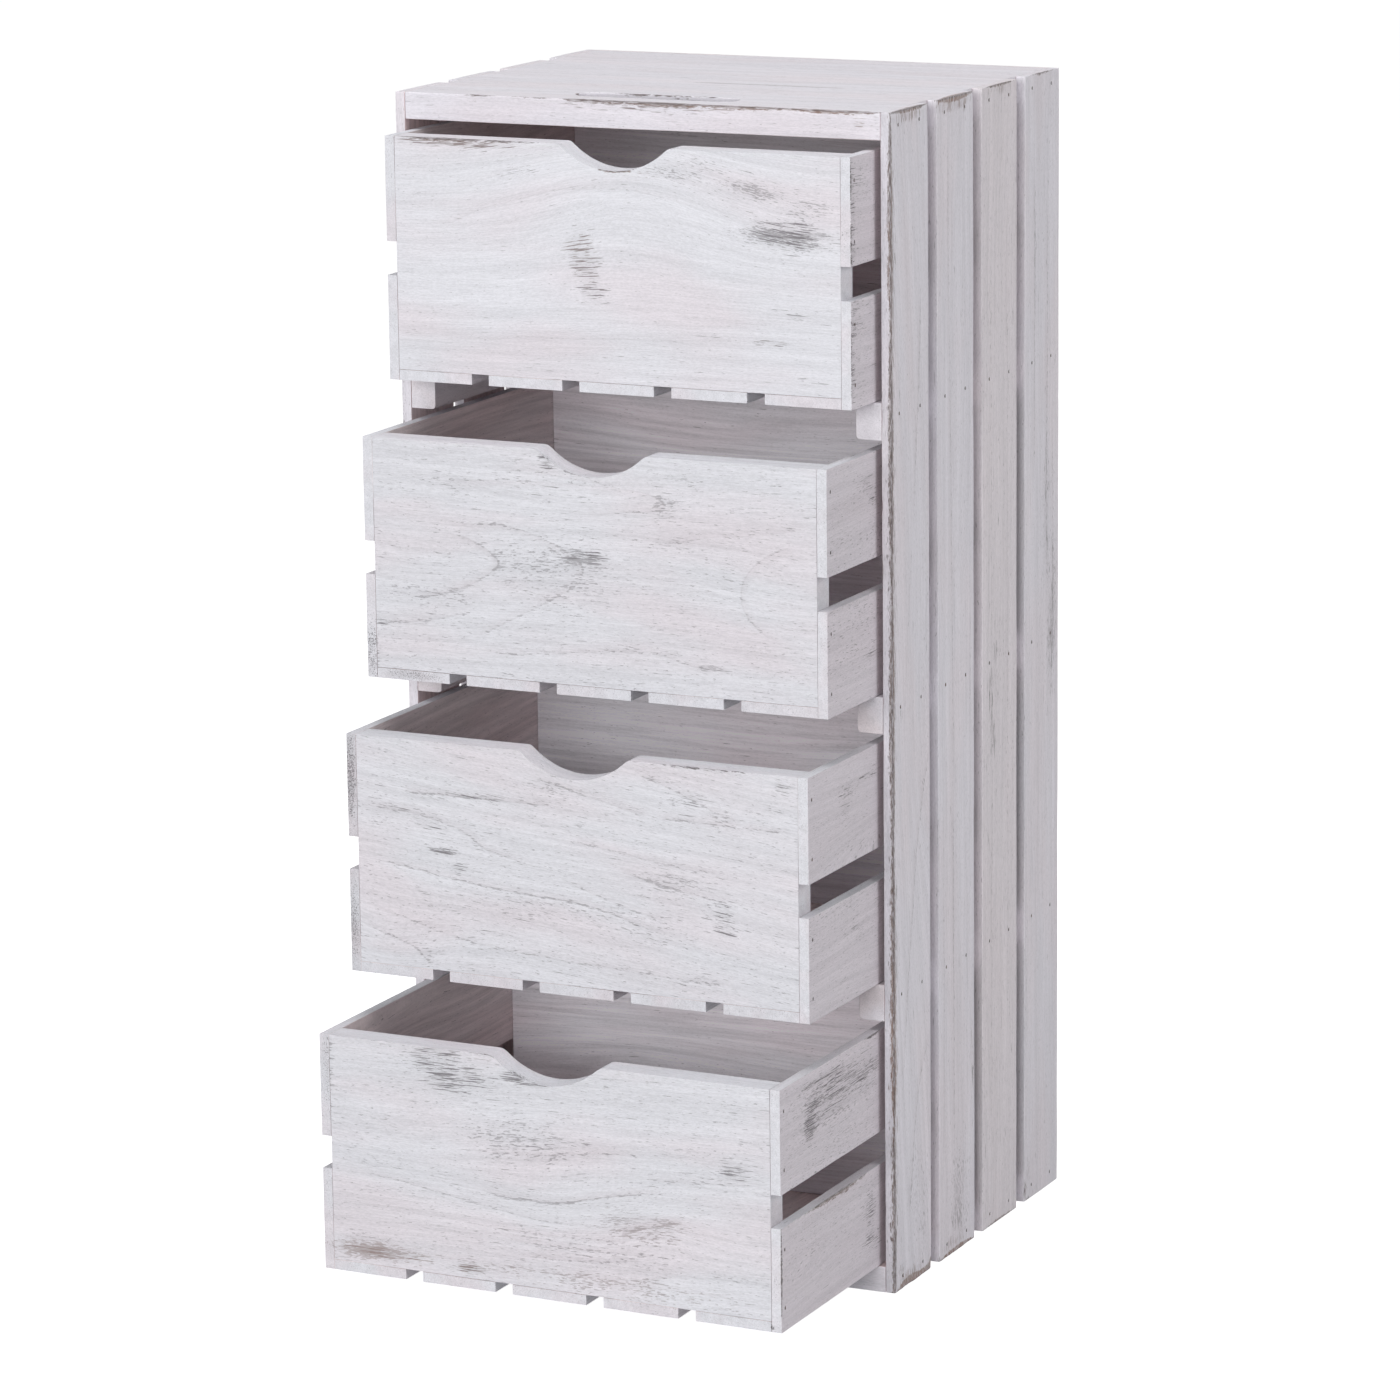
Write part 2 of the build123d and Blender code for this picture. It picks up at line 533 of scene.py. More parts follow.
def grain_of(board, points):
    """Where each point lies in the wood: along, across and deep, and the phase of its ring."""
    along, across, depth = (points[:, axis] for axis in (board.grain, board.across, board.depth))
    figure = board.figure or figure_for(board.seed, board.size[board.grain], board.size[board.across])
    bow = np.zeros(len(points))
    for b in figure.bumps:
        u = (along - b.along) / b.reach_along
        v = (across - b.across) / b.reach_across
        bow += b.rise * np.exp(-u * u - v * v)
    tilted = across + figure.slope * along
    ring = (tilted + bow + ring_depth_share * depth) / figure.spacing
    shift = np.random.default_rng(board.seed + grain_seed).uniform(0, grain_shift, 3)
    return np.stack([along, tilted + figure.follow_share * bow, depth], 1) + shift, ring


def spot_at(board, points, spot):
    """How strong a spot is at each point."""
    offset = (points + board.low - spot.middle) / spot.reach
    return spot.strength * np.exp(-spot_fall * np.linalg.norm(offset, axis=1) ** spot_power)


def spots_at(board, points, kind):
    """How strongly each point is worn by the spots of one kind."""
    strongest = np.zeros(len(points))
    for spot in board.spots:
        if spot.kind == kind:
            strongest = np.maximum(strongest, spot_at(board, points, spot))
    return strongest


def warmth_at(board, points):
    """How brown the worn wood is at each point."""
    warmth = np.zeros(len(points))
    for spot in board.spots:
        reached = np.minimum(warm_gain * spot_at(board, points, spot), 1)
        warmth = np.maximum(warmth, spot.warm * reached)
    return warmth


def on_faces(board, points, faces):
    """The amount given for the face that each point is on, and 0 on the other faces."""
    amounts = np.zeros(len(points))
    for axis, end, amount in faces:
        plane = board.size[axis] if end else 0
        amounts = np.maximum(amounts, amount * (np.abs(points[:, axis] - plane) < face_skin))
    return amounts


def smooth_path(places):
    """A smooth path through places, as many short straight runs."""
    padded = np.vstack([2 * places[0] - places[1], places, 2 * places[-1] - places[-2]])
    t = np.linspace(0, 1, line_samples, endpoint=False)[:, None]
    runs = []
    for a, b, c, d in zip(padded, padded[1:], padded[2:], padded[3:]):
        bend = (2 * a - 5 * b + 4 * c - d) * t ** 2 + (3 * b - a - 3 * c + d) * t ** 3
        runs.append(b + ((c - a) * t + bend) / 2)
    return np.vstack(runs + [places[-1:]])


def nearest_on(path, places):
    """For each place: how far it is from a path, on which side, and the share of the path there."""
    start, run = path[:-1], np.diff(path, axis=0)
    offset = places[:, None] - start
    t = np.clip(np.sum(offset * run, axis=2) / np.sum(run * run, axis=1), 0, 1)
    gap = offset - t[..., None] * run
    distance = np.hypot(gap[..., 0], gap[..., 1])
    best = np.argmin(distance, axis=1)
    rows = np.arange(len(places))
    side = np.sign(run[best, 0] * gap[rows, best, 1] - run[best, 1] * gap[rows, best, 0])
    return distance[rows, best], side, (best + t[rows, best]) / len(run)


def lines_at(board, points):
    """Each point's distance from the nearest drawn line, with and without its side, and its strength."""
    axes = [board.grain, board.across]
    places = points[:, axes] + board.low[axes]
    far = np.full(len(points), line_reach)
    side = np.full(len(points), line_reach)
    strength = np.zeros(len(points))
    for line in board.lines:
        distance, way, share = nearest_on(smooth_path(line.places), places)
        ends = smooth_step(0, line_end_share, share) * smooth_step(0, line_end_share, 1 - share)
        nearer = distance < far
        far[nearer] = distance[nearer]
        side[nearer] = (way * distance)[nearer]
        strength[nearer] = line.strength * ends[nearer]
    return {"line_far": far, "line_side": side, "line_strength": strength}


def mesh_from(name, points, faces):
    """A smooth mesh object from points in millimetres."""
    mesh = bpy.data.meshes.new(name)
    mesh.from_pydata((points * MM).tolist(), [], [list(face) for face in faces])
    mesh.polygons.foreach_set("use_smooth", [True] * len(mesh.polygons))
    mesh.update()
    piece = bpy.data.objects.new(name, mesh)
    bpy.context.scene.collection.objects.link(piece)
    return piece


def write_field(mesh, name, values):
    """Writes a number or a vector for each point of a mesh."""
    kind, key = ("FLOAT_VECTOR", "vector") if values.ndim > 1 else ("FLOAT", "value")
    attribute = mesh.attributes.new(name, kind, "POINT")
    attribute.data.foreach_set(key, np.asarray(values, np.float32).ravel())


def fields_of(board, ideal, edge):
    """The numbers that a board's material reads, for each of its points."""
    fields = {kind: spots_at(board, ideal, kind) for kind in ("rub", "stipple", "wear")}
    fields["warm"] = warmth_at(board, ideal)
    fields["edge"] = np.minimum(edge, edge_reach)
    fields["inside"] = on_faces(board, ideal, board.inside)
    fields["inner_face"] = (fields["inside"] > 0).astype(float)
    # A board's own beige, and on the drawer sides' outer faces beige as painted side light
    fields["tint"] = board.tint + on_faces(board, ideal, board.tinted)
    # Faces made darker; on the drawer fronts this darkening is painted shade
    fields["grime"] = board.grime + on_faces(board, ideal, board.dirty)
    fields["grain"], fields["ring"] = grain_of(board, ideal)
    fields.update(lines_at(board, ideal))
    return fields


def dress(piece, node, slot, body):
    """Gives a piece its material and its place in the frame."""
    piece.data.materials.append(materials[slot])
    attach(piece, body)
    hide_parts(node)


def no_warp(board, points):
    return points


def board_piece(node, boards, slot, body, warp=no_warp):
    """One piece for a node: its boards as one mesh, with the grain and the wear written on it."""
    points, quads, fields = [], [], []
    start = 0
    for board in boards:
        ideal, worn, cells, edge = skin_of_board(board)
        fields.append(fields_of(board, warp(board, ideal), edge))
        points.append(warp(board, worn) + board.low)
        quads.append(cells + start)
        start += len(ideal)
    piece = mesh_from(f"{node}_wood", np.concatenate(points), np.concatenate(quads))
    for key in fields[0]:
        write_field(piece.data, key, np.concatenate([f[key] for f in fields]))
    dress(piece, node, slot, body)


# Sockets of a mix of colours, by their numbers
mix_share, mix_first, mix_second, mix_result = 0, 6, 7, 2


class Graph:
    """The nodes of a material or a world, added and linked in short calls."""

    def __init__(self, owner):
        owner.use_nodes = True
        self.tree = owner.node_tree
        self.tree.nodes.clear()

    def node(self, kind, **settings):
        made = self.tree.nodes.new(kind)
        for key, value in settings.items():
            setattr(made, key, value)
        return made

    def put(self, socket, value):
        if isinstance(value, bpy.types.NodeSocket):
            self.tree.links.new(value, socket)
        else:
            socket.default_value = value

    def filled(self, kind, values, **settings):
        """A node with values put in the inputs that they are given for."""
        made = self.node(kind, **settings)
        for key, value in values.items():
            self.put(made.inputs[key], value)
        return made

    def number(self, name):
        return self.node("ShaderNodeAttribute", attribute_name=name).outputs["Fac"]

    def math(self, operation, *values):
        return self.filled("ShaderNodeMath", dict(enumerate(values)), operation=operation).outputs[0]

    def add(self, a, b):
        return self.math("ADD", a, b)

    def times(self, a, b):
        return self.math("MULTIPLY", a, b)

    def plus(self, base, value, factor):
        """A value times a factor, added to a base."""
        return self.math("MULTIPLY_ADD", value, factor, base)

    def vector(self, operation, a, key, b):
        return self.filled("ShaderNodeVectorMath", {0: a, key: b}, operation=operation).outputs[0]

    def noise(self, place, scales, detail, roughness):
        stretched = self.vector("MULTIPLY", place, 1, scales)
        values = {"Vector": stretched, "Scale": 1.0, "Detail": detail, "Roughness": roughness}
        return self.filled("ShaderNodeTexNoise", values).outputs["Fac"]

    def ramp(self, value, low, high, to_low=0.0, to_high=1.0):
        values = {"Value": value, "From Min": low, "From Max": high, "To Min": to_low, "To Max": to_high}
        made = self.filled("ShaderNodeMapRange", values, interpolation_type="SMOOTHSTEP")
        return made.outputs["Result"]

    def mix(self, share, a, b):
        values = {mix_share: share, mix_first: a, mix_second: b}
        return self.filled("ShaderNodeMix", values, data_type="RGBA").outputs[mix_result]

    def surface(self, colour, roughness, height, bump, shine):
        depth, strength = bump
        values = {"Height": height, "Distance": depth * MM, "Strength": strength}
        bumped = self.filled("ShaderNodeBump", values)
        shader = self.filled("ShaderNodeBsdfPrincipled", {
            "Base Color": colour, "Roughness": roughness, "Normal": bumped.outputs["Normal"], **shine})
        self.filled("ShaderNodeOutputMaterial", {"Surface": shader.outputs["BSDF"]})


# The screen's own curve, from a colour's share of its full strength to light
screen_full = 255
screen_straight_end = 0.04045
screen_straight_slope = 12.92
screen_offset = 0.055
screen_power = 2.4


def linear(colour):
    """A colour given as it looks on screen, 0 to 255, as the linear colour that a shader takes."""
    made = []
    for share in (c / screen_full for c in colour):
        curved = ((share + screen_offset) / (1 + screen_offset)) ** screen_power
        made.append(share / screen_straight_slope if share <= screen_straight_end else curved)
    return (*made, 1.0)


# Noises of the wash: scale per millimetre along the grain and across it, detail and roughness
wash_noises = {
    "cloud": (0.006, 0.022, 2.0, 0.5), "band": (0.003, 0.11, 2.0, 0.5), "fibre": (0.03, 0.75, 4.0, 0.6),
    "speck": (0.34, 1.25, 2.0, 0.7), "thread": (0.1, 2.4, 1.0, 0.5), "pore": (0.2, 1.25, 2.0, 0.55),
    "stroke": (0.055, 1.25, 2.0, 0.55), "patch": (0.014, 0.05, 3.0, 0.5), "fray": (0.22, 0.85, 4.0, 0.65),
    "chip": (0.05, 0.16, 3.0, 0.6), "break": (0.06, 0.2, 2.0, 0.5), "streak": (0.008, 0.22, 4.0, 0.6),
    "cluster": (0.022, 0.1, 3.0, 0.5), "scrape": (0.12, 1.3, 3.0, 0.6),
}

# A ramp has where it starts and ends, and its values there, which are 0 and 1 where they aren't given.
# Most noises are read over the same span.
noise_span = (0.3, 0.7)

# How noises and fields change the brightness of the paint, from the start of their span to its end
noise_levels = {
    "fibre": (-0.04, 0.03), "speck": (-0.06, 0.05), "thread": (-0.03, 0.03), "band": (-0.032, 0.022),
}
field_span = (0.15, 0.9)
field_levels = {"rub": (0.0, -0.1), "stipple": (0.0, -0.05)}
streak_levels = (-0.2, 0.12)
streak_shares = (0.2, 0.8)
ring_level = -0.04
shade_level = -0.085
# Painted light: the inner faces are made brighter by this share, for light reaching into the drawers and the
# chest
inner_painted_light = 0.22

# Tone of the paint
tone_ramp = (0.4, 0.68, 0.0, 0.9)
shade_tone = 0.4

# Drawn lines, measured in millimetres from the line
noise_middle = 0.5
line_wobble = 1.6
near_ramp = (3.0, 4.2, 1.0, 0.0)
thin_ramp = (0.1, 0.8, 1.0, 0.0)
row_ramp = (0.2, 1.6, 0.85, 0.0)
shade_side_ramp = (-0.8, 0.6)
shade_far_ramp = (0.0, 7.0, 1.0, 0.0)

# Faint rings, by their phase and by patches
ring_wander = 0.6
ring_start_ramp = (0.72, 0.97)
ring_end_ramp = (0.97, 1.0, 1.0, 0.0)
ring_patch_ramp = (0.45, 0.65)
loose_ramp = (0.0, 0.4, 1.0, 0.0)
loose_patch_ramp = (0.5, 0.72)

# Pores and strokes: the noise that they start at where they are rare and where they are common
fleck_ramp = (0.0, 0.05)
pore_limits = (0.68, 0.44)
stroke_limits = (0.7, 0.4)
rub_pores = 0.4
loose_pores = 0.2
cluster_ramp = (0.36, 0.64, 0.4, 1.3)
stroke_bareness = 0.74
pore_bareness = 0.44
thin_bareness = 0.16

# Bare edges, in millimetres from the edge
wear_width = 5.6
chip_width_ramp = (0.56, 0.8, -2.4, 0.6)
fray_width = 7.0
scrape_ramp = (0.38, 0.56, 0.45, 1.0)
bare_edge_ramp = (-1.0, 0.35, 1.0, 0.0)
bare_edge_share = 0.92
pale_ramp = (0.42, 0.72)
dark_edge_ramp = (0.2, 1.3, 0.8, 0.0)

# Surface of the wood; a bump has its depth in millimetres and its strength
wood_roughness = (0.58, 0.7)
bare_roughness = 0.16
fibre_height = 0.5
pore_height = -0.8
bare_height = -0.5
wood_bump = (0.25, 0.6)
wood_shine = {"Specular IOR Level": 0.3, "Metallic": 0.0}


def drawn_lines(g, breaks):
    """The drawn growth rings: a thin broken line, a row of pores, and a soft shade beside them."""
    far = g.number("line_far")
    strength = g.number("line_strength")
    wobble = g.add(breaks, -noise_middle)
    moved = g.plus(g.number("line_side"), wobble, line_wobble)
    apart = g.math("ABSOLUTE", moved)
    near = g.times(g.ramp(far, *near_ramp), strength)
    thin = g.times(g.ramp(apart, *thin_ramp), near)
    row = g.times(g.ramp(apart, *row_ramp), near)
    shade = g.times(g.ramp(moved, *shade_side_ramp), g.ramp(far, *shade_far_ramp))
    return thin, row, g.times(shade, strength)


def growth_rings(g, patches):
    """Faint growth rings everywhere: a line at the end of each ring and a loose start to the next."""
    phase = g.math("FRACT", g.plus(g.number("ring"), patches, ring_wander))
    line = g.times(g.ramp(phase, *ring_start_ramp), g.ramp(phase, *ring_end_ramp))
    loose = g.times(g.ramp(phase, *loose_ramp), g.ramp(patches, *loose_patch_ramp))
    return g.times(line, g.ramp(patches, *ring_patch_ramp)), loose


def flecks(g, lumps, amount, limits):
    """Flecks of noise along the grain: none where the amount is 0, and most of the wood where it is 1."""
    rare, common = limits
    limit = g.plus(rare, amount, common - rare)
    return g.ramp(g.math("SUBTRACT", lumps, limit), *fleck_ramp)


def paint_level(g, noises, fields, ring, shade):
    """How bright the paint is at each place, 1 being as it is written, with painted shade on the drawer
    fronts and painted light on the inner faces.
    """
    level = 1.0
    for name, levels in noise_levels.items():
        level = g.add(g.ramp(noises[name], *noise_span, *levels), level)
    for name, levels in field_levels.items():
        level = g.add(g.ramp(fields[name], *field_span, *levels), level)
    least, more = streak_shares
    shown = g.plus(least, fields["inner_face"], more)
    level = g.plus(level, g.ramp(noises["streak"], *noise_span, *streak_levels), shown)
    level = g.plus(level, ring, ring_level)
    level = g.plus(level, shade, shade_level)
    # Outer faces are made darker; on the drawer fronts this is painted shade
    outer = g.math("SUBTRACT", 1.0, fields["inner_face"])
    level = g.math("SUBTRACT", level, g.times(fields["grime"], outer))
    # painted light: the inner faces are made brighter
    return g.plus(level, fields["inner_face"], inner_painted_light)


def bare_edges(g, noises, fields):
    """Where the paint is gone by an edge, with a frayed border and scrapes through it."""
    width = g.plus(g.ramp(noises["chip"], *chip_width_ramp), fields["wear"], wear_width)
    ragged = g.plus(g.add(fields["edge"], -fray_width / 2), noises["fray"], fray_width)
    bare = g.ramp(g.math("SUBTRACT", ragged, width), *bare_edge_ramp)
    return g.times(bare, g.ramp(noises["scrape"], *scrape_ramp))


def washed_wood(name, wash):
    """Thin white paint over open-pored wood: fibres, pores, rings, smudges and bare edges."""
    material = bpy.data.materials.new(name)
    g = Graph(material)
    grain = g.node("ShaderNodeAttribute", attribute_name="grain").outputs["Vector"]
    keys = ("rub", "stipple", "wear", "warm", "inside", "inner_face", "tint", "grime", "edge")
    fields = {key: g.number(key) for key in keys}
    noises = {key: g.noise(grain, (along, across, across), *more)
              for key, (along, across, *more) in wash_noises.items()}
    colours = {key: linear(colour) for key, colour in wash.items()}
    ring, loose = growth_rings(g, noises["patch"])
    thin, row, shade = drawn_lines(g, noises["break"])

    tone = g.plus(g.ramp(noises["cloud"], *tone_ramp), shade, shade_tone)
    paint = g.mix(tone, colours["cool"], colours["rosy"])
    # beige is a board's own tone, and on the drawer sides' outer faces it is painted side light
    paint = g.mix(fields["tint"], paint, colours["beige"])
    paint = g.vector("SCALE", paint, "Scale", paint_level(g, noises, fields, ring, shade))

    crowd = g.plus(g.plus(fields["stipple"], fields["rub"], rub_pores), loose, loose_pores)
    crowd = g.plus(row, crowd, g.ramp(noises["cluster"], *cluster_ramp))
    pores = flecks(g, noises["pore"], crowd, pore_limits)
    strokes = flecks(g, noises["stroke"], fields["rub"], stroke_limits)
    bare = g.math("MAXIMUM", g.times(strokes, stroke_bareness), g.times(pores, pore_bareness))
    bare = g.math("MAXIMUM", bare, g.times(thin, thin_bareness))
    bare_edge = bare_edges(g, noises, fields)

    rubbed = g.mix(fields["warm"], colours["grey"], colours["brown"])
    wood = g.mix(g.ramp(noises["fray"], *pale_ramp), rubbed, colours["pale"])
    wood = g.mix(g.ramp(fields["edge"], *dark_edge_ramp), wood, colours["dark"])
    colour = g.mix(bare, paint, rubbed)
    colour = g.mix(g.times(bare_edge, bare_edge_share), colour, wood)
    colour = g.mix(fields["inside"], colour, g.vector("MULTIPLY", colour, 1, colours["inner"][:3]))

    roughness = g.plus(g.ramp(noises["fibre"], *noise_span, *wood_roughness), bare, bare_roughness)
    height = g.times(g.add(noises["fibre"], noises["speck"]), fibre_height)
    height = g.plus(height, pores, pore_height)
    height = g.plus(height, g.math("MAXIMUM", strokes, bare_edge), bare_height)
    g.surface(colour, roughness, height, wood_bump, wood_shine)
    return material


# Steel of the brads: noises with their scales per metre, detail and roughness; colours as on screen
steel_grain_noise = ((900.0,) * 3, 3.0, 0.5)
steel_rust_noise = ((60.0,) * 3, 2.0, 0.5)
steel_rust_ramp = (0.4, 0.65)
steel_levels = (0.8, 1.15)
steel_roughness = (0.4, 0.65)
steel_grey = (92, 88, 88)
steel_rust = (84, 66, 56)
steel_bump = (0.05, 0.5)
steel_shine = {"Specular IOR Level": 0.5, "Metallic": 0.6}


def brad_steel(name):
    """Dull steel, dark with rust in patches."""
    material = bpy.data.materials.new(name)
    g = Graph(material)
    place = g.node("ShaderNodeTexCoord").outputs["Object"]
    grains = g.noise(place, *steel_grain_noise)
    rust = g.ramp(g.noise(place, *steel_rust_noise), *steel_rust_ramp)
    colour = g.mix(rust, linear(steel_grey), linear(steel_rust))
    colour = g.vector("SCALE", colour, "Scale", g.ramp(grains, *noise_span, *steel_levels))
    roughness = g.ramp(grains, *noise_span, *steel_roughness)
    g.surface(colour, roughness, grains, steel_bump, steel_shine)
    return material


# Colours of the woods as they look on screen: the paint (cool, rosy, beige), the wood where it is rubbed
# (dark, grey, brown, pale), and what the inner faces are multiplied by
washes = {
    "carcass_wood": {
        "cool": (230, 227, 234), "rosy": (231, 225, 231), "beige": (229, 221, 224), "dark": (78, 70, 68),
        "grey": (96, 89, 90), "brown": (130, 100, 84), "pale": (176, 164, 160), "inner": (236, 217, 210),
    },
    "drawer_wood": {
        "cool": (230, 230, 236), "rosy": (230, 224, 230), "beige": (230, 222, 229), "dark": (76, 70, 70),
        "grey": (92, 87, 90), "brown": (128, 104, 92), "pale": (170, 162, 162), "inner": (240, 225, 218),
    },
    "inner_wood": {
        "cool": (228, 224, 230), "rosy": (224, 215, 218), "beige": (224, 214, 212), "dark": (82, 74, 72),
        "grey": (104, 96, 95), "brown": (132, 108, 94), "pale": (168, 158, 154), "inner": (232, 212, 204),
    },
}

# Materials of the record's slots
materials = {slot: washed_wood(slot, wash) for slot, wash in washes.items()}
materials["brad_steel"] = brad_steel("brad_steel")


def notch_drop(x, shoulder):
    """How far the top edge of a drawer front lies below its corners, at a place from its middle."""
    radius = (notch_chord ** 2 / 4 + notch_depth ** 2) / (2 * notch_depth)
    x = np.abs(x)
    rise = radius - notch_depth
    shoulder_x = math.sqrt((radius + shoulder) ** 2 - (rise + shoulder) ** 2)
    touch_x = shoulder_x * radius / (radius + shoulder)
    arc = np.sqrt(np.maximum(radius ** 2 - x ** 2, 0)) - rise
    bend = shoulder - np.sqrt(np.maximum(shoulder ** 2 - (x - shoulder_x) ** 2, 0))
    return np.where(x < touch_x, arc, np.where(x < shoulder_x, bend, 0))


def notch_warp(shoulder):
    """Pulls the upper part of a drawer front down into its finger notch."""
    def warp(board, points):
        width, _, height = board.size
        fade = np.clip((points[:, Z] / height - notch_fade_share) / (1 - notch_fade_share), 0, 1)
        warped = points.copy()
        warped[:, Z] -= notch_drop(points[:, X] - width / 2, shoulder) * fade
        return warped
    return warp


def seed_of(node):
    """A fixed seed from a node's name."""
    return sum((n + 1) * ord(letter) for n, letter in enumerate(node)) % seed_range


def board_of(node, slot, body, grain, across, step, warp=no_warp, **more):
    """The piece of a node that is one board."""
    low, high = box_of(node)
    board_piece(node, [Board(low, high, grain, across, step, seed_of(node), **more)], slot, body, warp)


def outward_of(side):
    return -1 if side == "left" else 1


def inner_end_of(side):
    """Which end of a side's board along X faces the inside."""
    return 1 if side == "left" else 0


def outer_x(side, low, high):
    return low[X] if side == "left" else high[X]


def brad_pair(low, high):
    """Where two brads stand across a slat."""
    return [(low + high) / 2 + share * (high - low) for share in slat_brad_shares]


# Each brad is a place, the axis that it is driven along, and which way its head faces on it.
def side_slat_brads(side, n):
    low, high = box_of(f"{side}_side_slat_{n}")
    levels = [middle_of(node)[Z] for node in ("top_panel", "bottom_panel")]
    for bay in RUNNERS:
        runner_low, runner_high = box_of(f"{side}_runner_{bay}")
        levels.append(runner_low[Z] + runner_side_brad_share * (runner_high[Z] - runner_low[Z]))
    x = outer_x(side, low, high)
    return [(np.array((x, y, z)), X, outward_of(side)) for z in levels for y in brad_pair(low[Y], high[Y])]


def back_brads():
    low, high = box_of("back_panel")
    width, middle = high[X] - low[X], (low[X] + high[X]) / 2
    places = [
        (middle + share * width, middle_of(node)[Z])
        for node in ("top_panel", "bottom_panel")
        for share in back_brad_shares
    ]
    for side in SIDES:
        for n in RUNNERS:
            a, b = box_of(f"{side}_runner_{n}")
            places.append(((a[X] + b[X]) / 2, a[Z] + runner_back_brad_share * (b[Z] - a[Z])))
    return [(np.array((x, high[Y], z)), Y, 1) for x, z in places]


def end_places(k, share):
    """Where the brads of drawer k stand along it: one place in its front board, one in its back."""
    front_low, front_high = box_of(f"drawer_{k}_front")
    _, back_high = box_of(f"drawer_{k}_back")
    setback = share * (front_high[Y] - front_low[Y])
    return front_low[Y] + setback, back_high[Y] - setback


def drawer_slat_brads(k, side, level):
    low, high = box_of(f"drawer_{k}_{side}_{level}_slat")
    x = outer_x(side, low, high)
    return [
        (np.array((x, y, z)), X, outward_of(side))
        for y in end_places(k, drawer_side_brad_share)
        for z in brad_pair(low[Z], high[Z])
    ]


def bottom_rows(k):
    """The slats of a drawer's bottom, as spans along X."""
    low, high = box_of(f"drawer_{k}_bottom_slats")
    gaps = (bottom_slat_count - 1) * bottom_slat_gap
    width = (high[X] - low[X] - gaps) / bottom_slat_count
    starts = [low[X] + n * (width + bottom_slat_gap) for n in range(bottom_slat_count)]
    return [(start, start + width) for start in starts]


def bottom_slat_brads(k, span):
    low, _ = box_of(f"drawer_{k}_bottom_slats")
    return [
        (np.array((x, y, low[Z])), Z, -1)
        for y in end_places(k, drawer_bottom_brad_share)
        for x in brad_pair(*span)
    ]


def head_axis(facing):
    """The axis that a brad's head is longest along."""
    return Y if facing == Z else Z


def brad_rings():
    """The outline of a brad at each depth, from the dome of its head to the end of its shank."""
    half_head, half_shank = brad_head_length / 2, brad_shank / 2
    tip = half_shank * brad_corner_share
    return [
        (brad_sink, half_head - brad_dome, half_shank - brad_dome),
        (brad_sink + brad_dome, half_head, half_shank),
        (brad_head_depth - brad_dome, half_head, half_shank),
        (brad_head_depth, half_head - brad_dome, half_shank),
        (brad_head_depth + brad_dome, half_shank, half_shank),
        (brad_length - brad_shank, half_shank, half_shank),
        (brad_length, tip, tip),
    ]


def chamfered(half_long, half_short):
    """Eight corners of a small rectangle with its corners cut."""
    cut = brad_corner_share * half_short
    quarter = [(half_long, half_short - cut), (half_long - cut, half_short)]
    upper = quarter + [(-a, b) for a, b in reversed(quarter)]
    return upper + [(-a, -b) for a, b in upper]


def brad_mesh(place, facing, outward):
    """The points and faces of one brad, driven in at a place."""
    long_axis = head_axis(facing)
    short_axis = X + Y + Z - facing - long_axis
    axes = np.eye(3)
    rings = [
        [place - outward * depth * axes[facing] + a * axes[long_axis] + b * axes[short_axis]
         for a, b in chamfered(half_long, half_short)]
        for depth, half_long, half_short in brad_rings()
    ]
    count = len(rings[0])
    faces = []
    for start in range(0, (len(rings) - 1) * count, count):
        for n in range(count):
            m = (n + 1) % count
            faces.append([start + n, start + m, start + count + m, start + count + n])
    faces.append(list(range(count))[::-1])
    faces.append([(len(rings) - 1) * count + n for n in range(count)])
    if -outward * np.dot(np.cross(axes[long_axis], axes[short_axis]), axes[facing]) < 0:
        faces = [face[::-1] for face in faces]
    return np.concatenate(rings), faces


def brad_piece(node, body, brads):
    """All the brads of one node as one piece."""
    points, faces = [], []
    start = 0
    for brad in brads:
        corners, sides = brad_mesh(*brad)
        points.append(corners)
        faces += [[start + n for n in face] for face in sides]
        start += len(corners)
    dress(mesh_from(f"{node}_set", np.concatenate(points), faces), node, "brad_steel", body)


# What the photograph shows on each face, placed one by one. A place on a face is measured from a corner of
# it: to the right, to the back and downwards. Marks stand under what they are, each with its place, its
# reach both ways, its strength and how brown it is. A line has its strength and its places.
def places_on(corner, axes, places):
    """Places on a face as places in the frame."""
    ways = [-1 if axis == Z else 1 for axis in axes]
    return np.array(corner)[list(axes)] + ways * np.array(places, float)


def spots_on(corner, axes, depth_reach, marks):
    """Marks on a face as worn places; without a reach in depth they reach as deep as their second one."""
    spots = []
    for kind, rows in marks.items():
        for first, second, half_first, half_second, *more in rows:
            middle = np.array(corner, float)
            middle[list(axes)] = places_on(corner, axes, (first, second))
            reach = np.full(3, depth_reach or half_second, float)
            reach[list(axes)] = half_first, half_second
            spots.append(Spot(kind, middle, reach, *more))
    return spots


def lines_on(corner, axes, grain, drawn):
    """Drawn lines on a face, with their places along the grain put first."""
    order = (0, 1) if axes[0] == grain else (1, 0)
    return [Line(places_on(corner, axes, places)[:, order], strength) for strength, places in drawn]


